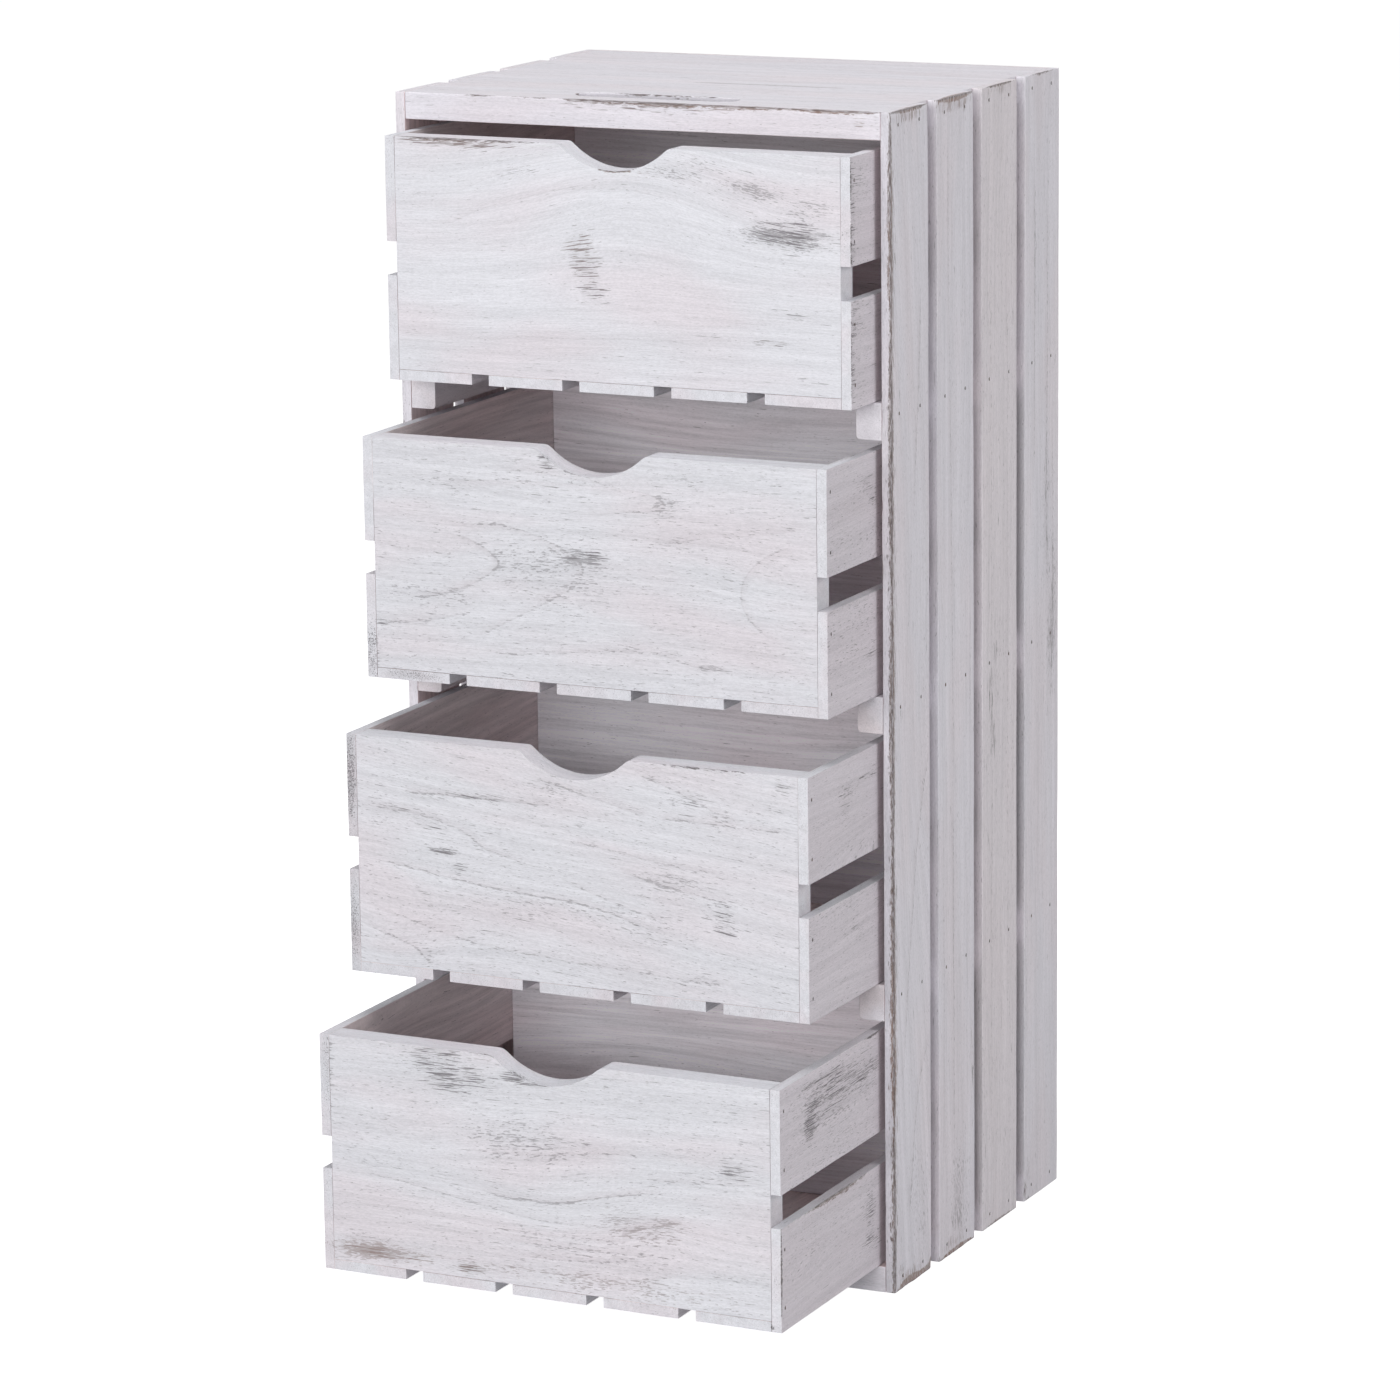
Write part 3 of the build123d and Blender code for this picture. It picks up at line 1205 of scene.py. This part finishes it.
front_marks = {
    1: {
        "wear": [(48, 0, 46, 6, 0.9, 0.5), (90, 0, 34, 5, 0.7, 0.5), (177, 18, 26, 5, 0.75, 0.9)],
        "stipple": [
            (225, 14, 34, 10, 0.6), (275, 26, 34, 10, 0.75), (318, 36, 24, 8, 0.6), (305, 54, 40, 12, 0.6),
        ],
        "rub": [
            (56, 3.5, 60, 3.5, 0.75, 0.6), (149, 69, 15, 12, 0.62, 0.6), (154, 83, 15, 12, 0.66, 0.4),
            (158, 98, 12, 10, 0.6, 0.2), (303, 54, 42, 5, 0.78), (310, 57, 38, 12, 0.52),
            (298, 46.5, 34, 2, 0.7), (308, 107, 16, 6, 0.36), (241, 125.5, 14, 1.6, 0.5),
            (292, 127, 22, 2.6, 0.68, 0.4), (320, 152, 20, 3, 0.36), (100, 20, 30, 6, 0.3),
        ],
    },
    2: {
        "wear": [(160, 15, 18, 5, 0.6)],
        "stipple": [
            (175, 85, 400, 200, 0.1), (165, 76, 26, 10, 0.9), (150, 84, 52, 26, 0.6), (50, 108, 42, 10, 0.5),
            (105, 81, 8, 12, 0.6), (235, 57, 30, 8, 0.4), (230, 33, 14, 9, 0.55), (240, 16, 30, 8, 0.35),
            (65, 28, 30, 8, 0.35), (200, 132, 30, 8, 0.4), (150, 160, 60, 6, 0.28),
        ],
        "rub": [
            (172, 72, 19, 6, 0.62), (142, 6, 7, 10, 0.6), (35, 165, 28, 4, 0.6), (265, 141, 20, 3, 0.4),
            (12, 130, 10, 3, 0.4), (4, 150, 6, 26, 0.6),
        ],
    },
    3: {
        "wear": [(270, 0, 60, 5, 0.55)],
        "stipple": [
            (175, 85, 400, 200, 0.13), (250, 82, 40, 10, 0.45), (150, 25, 40, 8, 0.4), (60, 152, 12, 8, 0.5),
            (145, 110, 60, 8, 0.45), (240, 118, 30, 8, 0.5), (275, 146, 24, 5, 0.4),
        ],
        "rub": [
            (3, 30, 5, 40, 0.75), (3, 135, 5, 40, 0.55), (74, 76.5, 15, 3.2, 0.8), (86, 88, 9, 7, 0.5),
            (287, 96, 11, 11, 0.46), (288, 110, 10, 9, 0.55), (240, 107, 12, 4, 0.45), (66, 58, 18, 7, 0.42),
            (95, 36, 30, 2, 0.5), (260, 36, 14, 3.5, 0.45), (331, 8, 9, 6, 0.5), (235, 12, 14, 4, 0.4),
            (262, 24, 14, 5, 0.45), (40, 50, 30, 3, 0.4),
        ],
    },
    4: {
        "wear": [(128, 0, 22, 5, 0.55, 0.2), (345, 165, 6, 6, 0.6)],
        "stipple": [
            (175, 85, 400, 200, 0.13), (160, 60, 56, 20, 0.55), (245, 107, 42, 14, 0.7, 0.5),
            (44, 151.5, 46, 7.5, 1.0, 0.9), (215, 153, 120, 10, 0.5, 0.6),
        ],
        "rub": [
            (92, 2.5, 24, 3.5, 0.7), (98, 20, 20, 13, 0.72), (90, 11, 28, 10, 0.64), (112, 18, 36, 15, 0.52),
            (150, 13, 16, 5, 0.85), (168, 18, 14, 3, 0.6), (160, 60, 48, 10, 0.24), (258, 108, 18, 6, 0.3),
            (316, 60, 16, 12, 0.52), (44, 151.5, 44, 6, 0.58, 0.8), (115, 154, 16, 5, 0.75, 0.6),
            (262, 128, 12, 2, 0.6), (6, 20, 6, 60, 0.4),
        ],
    },
}

front_lines = {
    1: [
        (0.34, [(10, 58.7), (45, 58.7), (70, 48.7), (100, 40), (130, 32), (150, 30.5), (180, 28.7),
                (200, 31), (225, 36), (262, 46)]),
        (0.24, [(10, 40), (50, 37.5), (82, 25), (112, 15), (135, 9)]),
        (0.18, [(15, 80), (90, 75), (180, 72), (255, 78)]),
        (0.18, [(20, 140), (110, 134), (200, 130), (335, 124)]),
    ],
    2: [
        (0.5, [(160, 46), (195, 40), (220, 37.5), (231, 32.5), (220, 26), (195, 23), (162, 22.5),
               (125, 23), (82, 25), (45, 28)]),
        (0.4, [(95, 17), (130, 16), (160, 19), (195, 22)]),
        (0.5, [(165, 90), (168, 80), (162, 72.5), (150, 67), (130, 59), (107, 54.5), (82, 55.5), (55, 54)]),
        (0.4, [(78, 138), (105, 124), (130, 111), (150, 100), (168, 89)]),
        (0.6, [(25, 110), (50, 108), (75, 101), (92, 92), (104, 81), (92, 71), (77, 65), (50, 62)]),
        (0.5, [(10, 129), (37, 127), (62, 122), (86, 116)]),
        (0.42, [(80, 143), (112, 144), (150, 140), (187, 136), (215, 135)]),
        (0.42, [(190, 130), (225, 135), (250, 141), (280, 142)]),
        (0.42, [(335, 50), (307, 61), (290, 77), (287, 95), (297, 110), (318, 123)]),
        (0.3, [(230, 60), (262, 52), (300, 48), (340, 40)]),
    ],
    3: [
        (0.75, [(40, 37), (60, 37), (100, 36.7), (130, 36.8), (168, 37.2)]),
        (0.6, [(235, 38), (262, 38.2), (300, 38.4), (342, 39)]),
        (0.5, [(140, 17), (175, 25), (215, 34), (232, 37)]),
        (0.5, [(220, 7), (250, 17), (272, 26), (302, 37)]),
        (0.55, [(7, 49), (32, 51), (52, 52), (87, 60), (105, 71), (120, 75), (155, 83)]),
        (0.5, [(172, 60), (200, 63), (250, 70), (290, 72)]),
        (0.5, [(205, 77), (232, 82), (262, 88), (302, 93)]),
        (0.5, [(165, 88), (195, 97), (220, 104), (248, 110)]),
        (0.7, [(7, 87), (37, 89.5), (75, 94.5), (105, 98), (140, 101), (175, 103), (212, 110), (255, 123)]),
        (0.4, [(7, 122), (37, 125), (75, 135), (125, 142), (225, 147), (337, 152)]),
        (0.5, [(8, 134), (30, 140), (50, 147), (66, 161)]),
    ],
    4: [
        (0.8, [(116, 95), (140, 99.5), (160, 99.7), (185, 99), (212, 92), (240, 86), (270, 81)]),
        (0.8, [(228, 116), (245, 110), (265, 104), (277, 101)]),
        (0.4, [(7, 96), (50, 97), (100, 104), (170, 113), (215, 111)]),
        (0.4, [(120, 123), (185, 122.5), (240, 120)]),
        (0.55, [(135, 130), (200, 130), (268, 127)]),
        (0.5, [(150, 140), (200, 138), (255, 131)]),
        (0.5, [(236, 147), (252, 144), (270, 140)]),
        (0.35, [(8, 149.5), (120, 149.5), (240, 149.5), (342, 149.5)]),
        (0.4, [(110, 70), (160, 68), (210, 61), (250, 58)]),
        (0.4, [(245, 75), (290, 72), (340, 68)]),
    ],
}

front_figures = {
    1: Figure(13.0, 0.0, [Bump(178, 135, 88, 52, -26), Bump(20, 40, 120, 30, 8)]),
    2: Figure(11.5, 0.0, [
        Bump(30, 82, 88, 22, 26), Bump(150, 128, 105, 16, 20), Bump(330, 78, 55, 34, 24),
        Bump(170, 30, 140, 18, -12),
    ], 0.25),
    3: Figure(12.0, 0.1, [Bump(10, 12, 62, 30, 18), Bump(250, 70, 120, 30, -6)]),
    4: Figure(12.0, -0.02, [
        Bump(165, 68, 70, 20, 12), Bump(250, 50, 45, 14, -9), Bump(60, 90, 90, 26, 10),
    ], 0.9),
}

drawer_side_marks = {
    1: {
        "wear": [(0, 18, 6, 24, 0.72), (0, 62, 6, 26, 0.68), (0, 135, 6, 50, 0.55)],
        "stipple": [(20, 85, 60, 90, 0.3)],
        "rub": [(3, 40, 5, 60, 0.5), (3, 135, 5, 50, 0.4), (14, 16, 16, 10, 0.4)],
    },
    2: {
        "stipple": [(40, 85, 90, 90, 0.3)],
        "rub": [(68, 20, 16, 10, 0.45), (75, 30, 10, 9, 0.6), (70, 138, 16, 6, 0.36)],
    },
    3: {
        "stipple": [(60, 85, 120, 90, 0.3)],
        "rub": [(62, 24, 14, 8, 0.5), (60, 35, 9, 5, 0.55), (95, 18, 22, 2, 0.55), (78, 122, 12, 5, 0.36)],
    },
    4: {
        "wear": [(150, 0, 18, 4, 0.9), (90, 99, 64, 6, 1.0, 0.6), (0, 125, 4, 40, 1.0)],
        "stipple": [(90, 25, 80, 26, 0.62), (80, 85, 160, 90, 0.24)],
        "rub": [
            (48, 38, 13, 14, 0.85), (54, 22, 18, 9, 0.64), (68, 10, 44, 4, 0.62), (95, 22, 52, 17, 0.56),
            (140, 24, 30, 14, 0.52), (146, 122, 14, 16, 0.55), (150, 146, 18, 12, 0.5),
        ],
    },
}

side_marks = {
    "right": {
        "wear": [
            (0, 60, 7, 80, 0.95, 0.3), (0, 110, 7, 40, 1.0, 0.6), (0, 230, 7, 150, 1.0, 0.2),
            (0, 420, 7, 130, 1.1, 0.2), (0, 580, 7, 150, 0.95, 0.2), (0, 650, 7, 60, 1.1, 0.8),
            (0, 760, 7, 110, 0.9), (30, 0, 36, 8, 0.95, 0.6), (108, 0, 36, 9, 1.2, 1.0),
            (186, 0, 30, 6, 0.75, 0.6), (264, 0, 28, 5, 0.6, 0.6), (26, 820, 24, 14, 1.9, 0.9),
            (50, 820, 24, 12, 1.5, 0.5), (108, 820, 38, 9, 1.2, 0.9), (186, 820, 34, 6, 0.8, 0.5),
            (238, 810, 8, 14, 1.0, 0.3),
        ],
        "stipple": [
            (40, 760, 20, 50, 0.42), (112, 780, 24, 44, 0.5), (276, 350, 18, 90, 0.5),
            (150, 410, 900, 900, 0.06),
        ],
        "rub": [
            (0, 330, 2, 170, 0.55, 0.2), (0, 640, 2, 190, 0.6, 0.4), (3.5, 100, 4, 110, 0.6, 0.6),
            (3.5, 340, 4, 150, 0.55, 0.5), (3.5, 620, 4, 190, 0.5, 0.4), (30, 5, 32, 5, 0.5, 0.8),
            (108, 6, 32, 6, 0.6, 1.0), (186, 4, 30, 4, 0.45, 0.5), (14, 410, 3, 12, 0.5),
            (46, 784, 10, 12, 0.3), (12, 805, 9, 5, 0.55, 0.3), (26, 814, 26, 7, 0.6, 0.9),
            (108, 798, 12, 16, 0.5), (104, 812, 22, 7, 0.5, 0.9), (136, 690, 4, 40, 0.4),
            (171, 425, 7, 22, 0.45), (172, 460, 6, 20, 0.5), (178, 400, 5, 10, 0.4), (282, 400, 10, 60, 0.45),
            (272, 300, 5, 70, 0.42), (250, 130, 3, 60, 0.45), (238, 800, 4, 16, 0.4),
        ],
    },
    "left": {
        "wear": [(0, 260, 7, 80, 0.55), (40, 820, 44, 6, 0.7, 0.8), (110, 0, 30, 6, 0.7, 0.9)],
        "stipple": [(30, 600, 18, 80, 0.5), (150, 410, 900, 900, 0.06)],
        "rub": [(180, 420, 20, 60, 0.42), (260, 200, 16, 70, 0.4), (255, 640, 14, 60, 0.42)],
    },
}

side_lines = {
    ("right", 1): [
        (0.6, [(50, 110), (47, 170), (44, 205), (39, 250), (36, 292)]),
        (0.35, [(34, 292), (29, 330), (24, 375), (20, 420)]),
        (0.6, [(64, 443), (56, 458), (46, 487), (37.5, 521), (29, 575), (21, 625), (10, 708)]),
        (0.55, [(63, 648), (48, 667), (37, 700), (30, 740), (24, 775)]),
    ],
    ("right", 2): [
        (0.5, [(95, 5), (97, 125), (100, 260), (102, 375), (103, 500)]),
        (0.75, [(102.5, 480), (103, 560), (103.3, 640), (103.6, 755)]),
        (0.5, [(133, 360), (133, 400), (132.6, 452)]),
        (0.4, [(86, 490), (86, 600), (87, 760)]),
    ],
    ("right", 3): [
        (0.4, [(170, 60), (171, 300), (172, 560), (170, 800)]),
        (0.35, [(200, 120), (201, 400), (200, 700)]),
    ],
    ("right", 4): [
        (0.6, [(250, 50), (250, 130), (249.5, 210), (249, 300)]),
        (0.6, [(273, 85), (273, 200), (272, 300), (273, 380)]),
        (0.5, [(283, 240), (284, 330), (282, 420), (280, 460)]),
    ],
    ("left", 2): [(0.5, [(100, 10), (104, 300), (100, 560), (96, 810)])],
    ("left", 3): [
        (0.5, [(176, 40), (190, 240), (176, 420)]),
        (0.4, [(200, 420), (196, 600), (204, 800)]),
    ],
}

side_figures = {
    ("right", 1): Figure(14.0, 0.1, [Bump(380, 45, 130, 26, 20)]),
    ("right", 2): Figure(16.0, 0.006, [Bump(500, 20, 300, 20, 6)]),
}

top_edge_marks = {
    "wear": [
        (58, 0, 18, 6, 0.65, 0.5), (150, 0, 40, 7, 0.85, 0.4), (200, 0, 44, 8, 1.05, 0.5),
        (260, 0, 44, 7, 0.95, 0.8), (325, 0, 44, 6, 0.95, 0.9), (100, 0, 46, 5, 0.4, 0.6),
    ],
    "rub": [(190, 3, 70, 4, 0.55, 0.4), (343, 9, 6, 3, 0.6, 1.0), (200, 4, 40, 3, 0.4, 0.5)],
}
top_face_marks = {
    "wear": [(119, 30, 5, 5, 0.9, 1.0), (180, 43, 64, 3, 0.6, 0.2)],
    "rub": [(222, 122, 66, 2.2, 1.0)],
}
top_lines = [(2.2, [(157, 122), (190, 121.5), (230, 122), (260, 121.8), (284, 122)])]


def front_corner(k):
    """The upper left corner of a drawer's front."""
    low, high = box_of(f"drawer_{k}_left_upper_slat")
    return low[X], low[Y], high[Z]


def front_spots(k):
    return spots_on(front_corner(k), (X, Z), front_spot_depth, front_marks[k])


def drawer_side_spots(k):
    _, front, top = front_corner(k)
    _, high = box_of(f"drawer_{k}_right_upper_slat")
    return spots_on((high[X], front, top), (Y, Z), drawer_spot_depth, drawer_side_marks[k])


def drawer_front(k):
    board_of(
        f"drawer_{k}_front", "drawer_wood", f"drawer_{k}", X, Z, front_step, notch_warp(notch_shoulders[k]),
        figure=front_figures[k], spots=front_spots(k), inside=[(Y, 1, end_board_bareness)],
        lines=lines_on(front_corner(k), (X, Z), X, front_lines[k]),
        # the front is made darker by painted shade
        worn=drawer_wornness, sharp=seam_radius, grime=front_grime[k])


def drawer_back(k):
    board_of(f"drawer_{k}_back", "drawer_wood", f"drawer_{k}", X, Z, board_step,
             inside=[(Y, 0, end_board_bareness)])


def drawer_side(k, side, level):
    inner_end = inner_end_of(side)
    board_of(
        f"drawer_{k}_{side}_{level}_slat", "drawer_wood", f"drawer_{k}", Y, Z, board_step,
        pits=drawer_slat_brads(k, side, level), spots=front_spots(k) + drawer_side_spots(k),
        # the outer face takes a beige colour as painted side light
        inside=[(X, inner_end, drawer_side_bareness)], tinted=[(X, 1 - inner_end, drawer_side_painted_light)],
        dirty=[(Y, 0, slat_end_grimes.get((k, side), 0))],
        worn=drawer_wornness, sharp=seam_radius, grime=side_grime)


def drawer_bottom(k):
    node = f"drawer_{k}_bottom_slats"
    low, high = box_of(node)
    boards = []
    for n, span in enumerate(bottom_rows(k)):
        a, b = low.copy(), high.copy()
        a[X], b[X] = span
        boards.append(Board(
            a, b, Y, X, hidden_step, seed_of(node) + n, spots=front_spots(k),
            inside=[(Z, 1, drawer_bottom_bareness)], pits=bottom_slat_brads(k, span),
            worn=drawer_wornness, sharp=seam_radius, grime=front_grime[k]))
    board_piece(node, boards, "drawer_wood", f"drawer_{k}")


def drawer_brads(k):
    brads = []
    for side, level in itertools.product(SIDES, LEVELS):
        brads += drawer_slat_brads(k, side, level)
    for span in bottom_rows(k):
        brads += bottom_slat_brads(k, span)
    brad_piece(f"drawer_{k}_brads", f"drawer_{k}", brads)


def side_slat(side, n):
    low, high = box_of(f"{side}_side_slat_1")
    corner = (outer_x(side, low, high), low[Y], high[Z])
    board_of(
        f"{side}_side_slat_{n}", "carcass_wood", "carcass", Z, Y, slat_step,
        pits=side_slat_brads(side, n), figure=side_figures.get((side, n)),
        spots=spots_on(corner, (Y, Z), carcass_spot_depth, side_marks[side]),
        lines=lines_on(corner, (Y, Z), Z, side_lines.get((side, n), ())),
        inside=[(X, inner_end_of(side), carcass_bareness)], tint=side_tints.get((side, n), 0),
        dirty=[(Y, 0, slat_edge_grimes.get((side, n), 0))])


def rounded_cleat(inner_end):
    """Rounds the lower inner edge of a cleat."""
    def warp(board, points):
        from_side = board.size[X] - points[:, X] if inner_end else points[:, X]
        out = np.stack([from_side, points[:, Z]], 1) - runner_round
        longest = np.abs(out).max(axis=1)
        by_edge = (out < 0).all(axis=1)
        turned = runner_round + unit(out) * longest[:, None]
        warped = points.copy()
        side = board.size[X] - turned[:, 0] if inner_end else turned[:, 0]
        warped[by_edge, X] = side[by_edge]
        warped[by_edge, Z] = turned[by_edge, 1]
        return warped
    return warp


def runner(side, n):
    board_of(f"{side}_runner_{n}", "inner_wood", "carcass", Y, Z, hidden_step,
             rounded_cleat(inner_end_of(side)), worn=runner_wornness)


def top_panel():
    low, high = box_of("top_panel")
    corner = (low[X], low[Y], high[Z])
    half = np.array((hand_hole_length, hand_hole_width)) / 2
    middle = np.array(((high[X] - low[X]) / 2, hand_hole_setback))
    spots = spots_on(corner, (X, Y), carcass_spot_depth, top_face_marks)
    spots += spots_on(corner, (X, Z), None, top_edge_marks)
    board_of("top_panel", "carcass_wood", "carcass", X, Y, board_step,
             inside=[(Z, 0, carcass_bareness)], spots=spots, lines=lines_on(corner, (X, Y), X, top_lines),
             hole=(middle - half, middle + half))


def bottom_panel():
    board_of("bottom_panel", "carcass_wood", "carcass", X, Y, board_step,
             inside=[(Z, 1, carcass_bareness)])


def back_panel():
    board_of("back_panel", "inner_wood", "carcass", Z, X, hidden_step,
             pits=back_brads(), worn=back_wornness, inside=[(Y, 0, carcass_bareness)])


def carcass():
    side_brads = []
    for side in SIDES:
        for n in SLATS:
            side_slat(side, n)
            side_brads += side_slat_brads(side, n)
        for n in RUNNERS:
            runner(side, n)
    top_panel()
    bottom_panel()
    back_panel()
    brad_piece("side_slat_brads", "carcass", side_brads)
    brad_piece("back_panel_brads", "carcass", back_brads())


def drawer(k):
    drawer_front(k)
    drawer_back(k)
    for side, level in itertools.product(SIDES, LEVELS):
        drawer_side(k, side, level)
    drawer_bottom(k)
    drawer_brads(k)


def camera():
    """The photograph's own view."""
    data = bpy.data.cameras.new("photo_camera")
    data.sensor_width = sensor_mm
    data.lens = sensor_mm * focal_length_px / photo_size_px
    data.clip_end = camera_clip_m
    made = bpy.data.objects.new("photo_camera", data)
    placed = Matrix.Translation(Vector(camera_place) * MM)
    for axis, degrees in camera_turns_deg:
        placed = placed @ Matrix.Rotation(math.radians(degrees), 4, axis)
    made.matrix_world = placed
    bpy.context.scene.collection.objects.link(made)
    bpy.context.scene.camera = made


def seen_directly(g):
    """1 for rays that show a surface to the camera, also in a mirror or through glass."""
    path = g.node("ShaderNodeLightPath")
    shown = g.add(path.outputs["Is Camera Ray"], path.outputs["Is Glossy Ray"])
    return g.math("MINIMUM", g.add(shown, path.outputs["Is Transmission Ray"]), 1.0)


def floor():
    """A pale floor that keeps the chest's shadow and is white elsewhere."""
    half, drop = floor_half_m / MM, -floor_drop_m / MM
    corners = [(x * half, y * half, drop) for x, y in ((-1, -1), (1, -1), (1, 1), (-1, 1))]
    made = mesh_from("floor", np.array(corners), [[0, 1, 2, 3]])
    material = bpy.data.materials.new("floor")
    g = Graph(material)
    matt = g.filled("ShaderNodeBsdfDiffuse", {"Color": (floor_grey, floor_grey, floor_grey, 1.0)})
    glow = g.filled("ShaderNodeEmission", {"Strength": g.times(seen_directly(g), floor_glow)})
    both = g.filled("ShaderNodeAddShader", {0: matt.outputs[0], 1: glow.outputs[0]})
    g.filled("ShaderNodeOutputMaterial", {"Surface": both.outputs[0]})
    made.data.materials.append(material)


def world():
    """Even light from all round, with a white background."""
    made = bpy.data.worlds.new("studio")
    bpy.context.scene.world = made
    g = Graph(made)
    strength = g.plus(ambient_strength, seen_directly(g), background_strength - ambient_strength)
    light = g.filled("ShaderNodeBackground", {"Strength": strength, "Color": (1.0, 1.0, 1.0, 1.0)})
    g.filled("ShaderNodeOutputWorld", {"Surface": light.outputs[0]})


def lamp(name, place, size, power):
    data = bpy.data.lights.new(name, "AREA")
    data.shape = "RECTANGLE"
    data.size, data.size_y = size
    data.energy = power
    made = bpy.data.objects.new(name, data)
    made.location = place
    made.rotation_mode = "QUATERNION"
    made.rotation_quaternion = (Vector(aim_m) - Vector(place)).to_track_quat("-Z", "Y")
    bpy.context.scene.collection.objects.link(made)


def studio():
    floor()
    world()
    for name, settings in lamps_m_w.items():
        lamp(name, *settings)
    bpy.context.scene.view_settings.view_transform = "Standard"


carcass()
for number in DRAWERS:
    drawer(number)
camera()
studio()
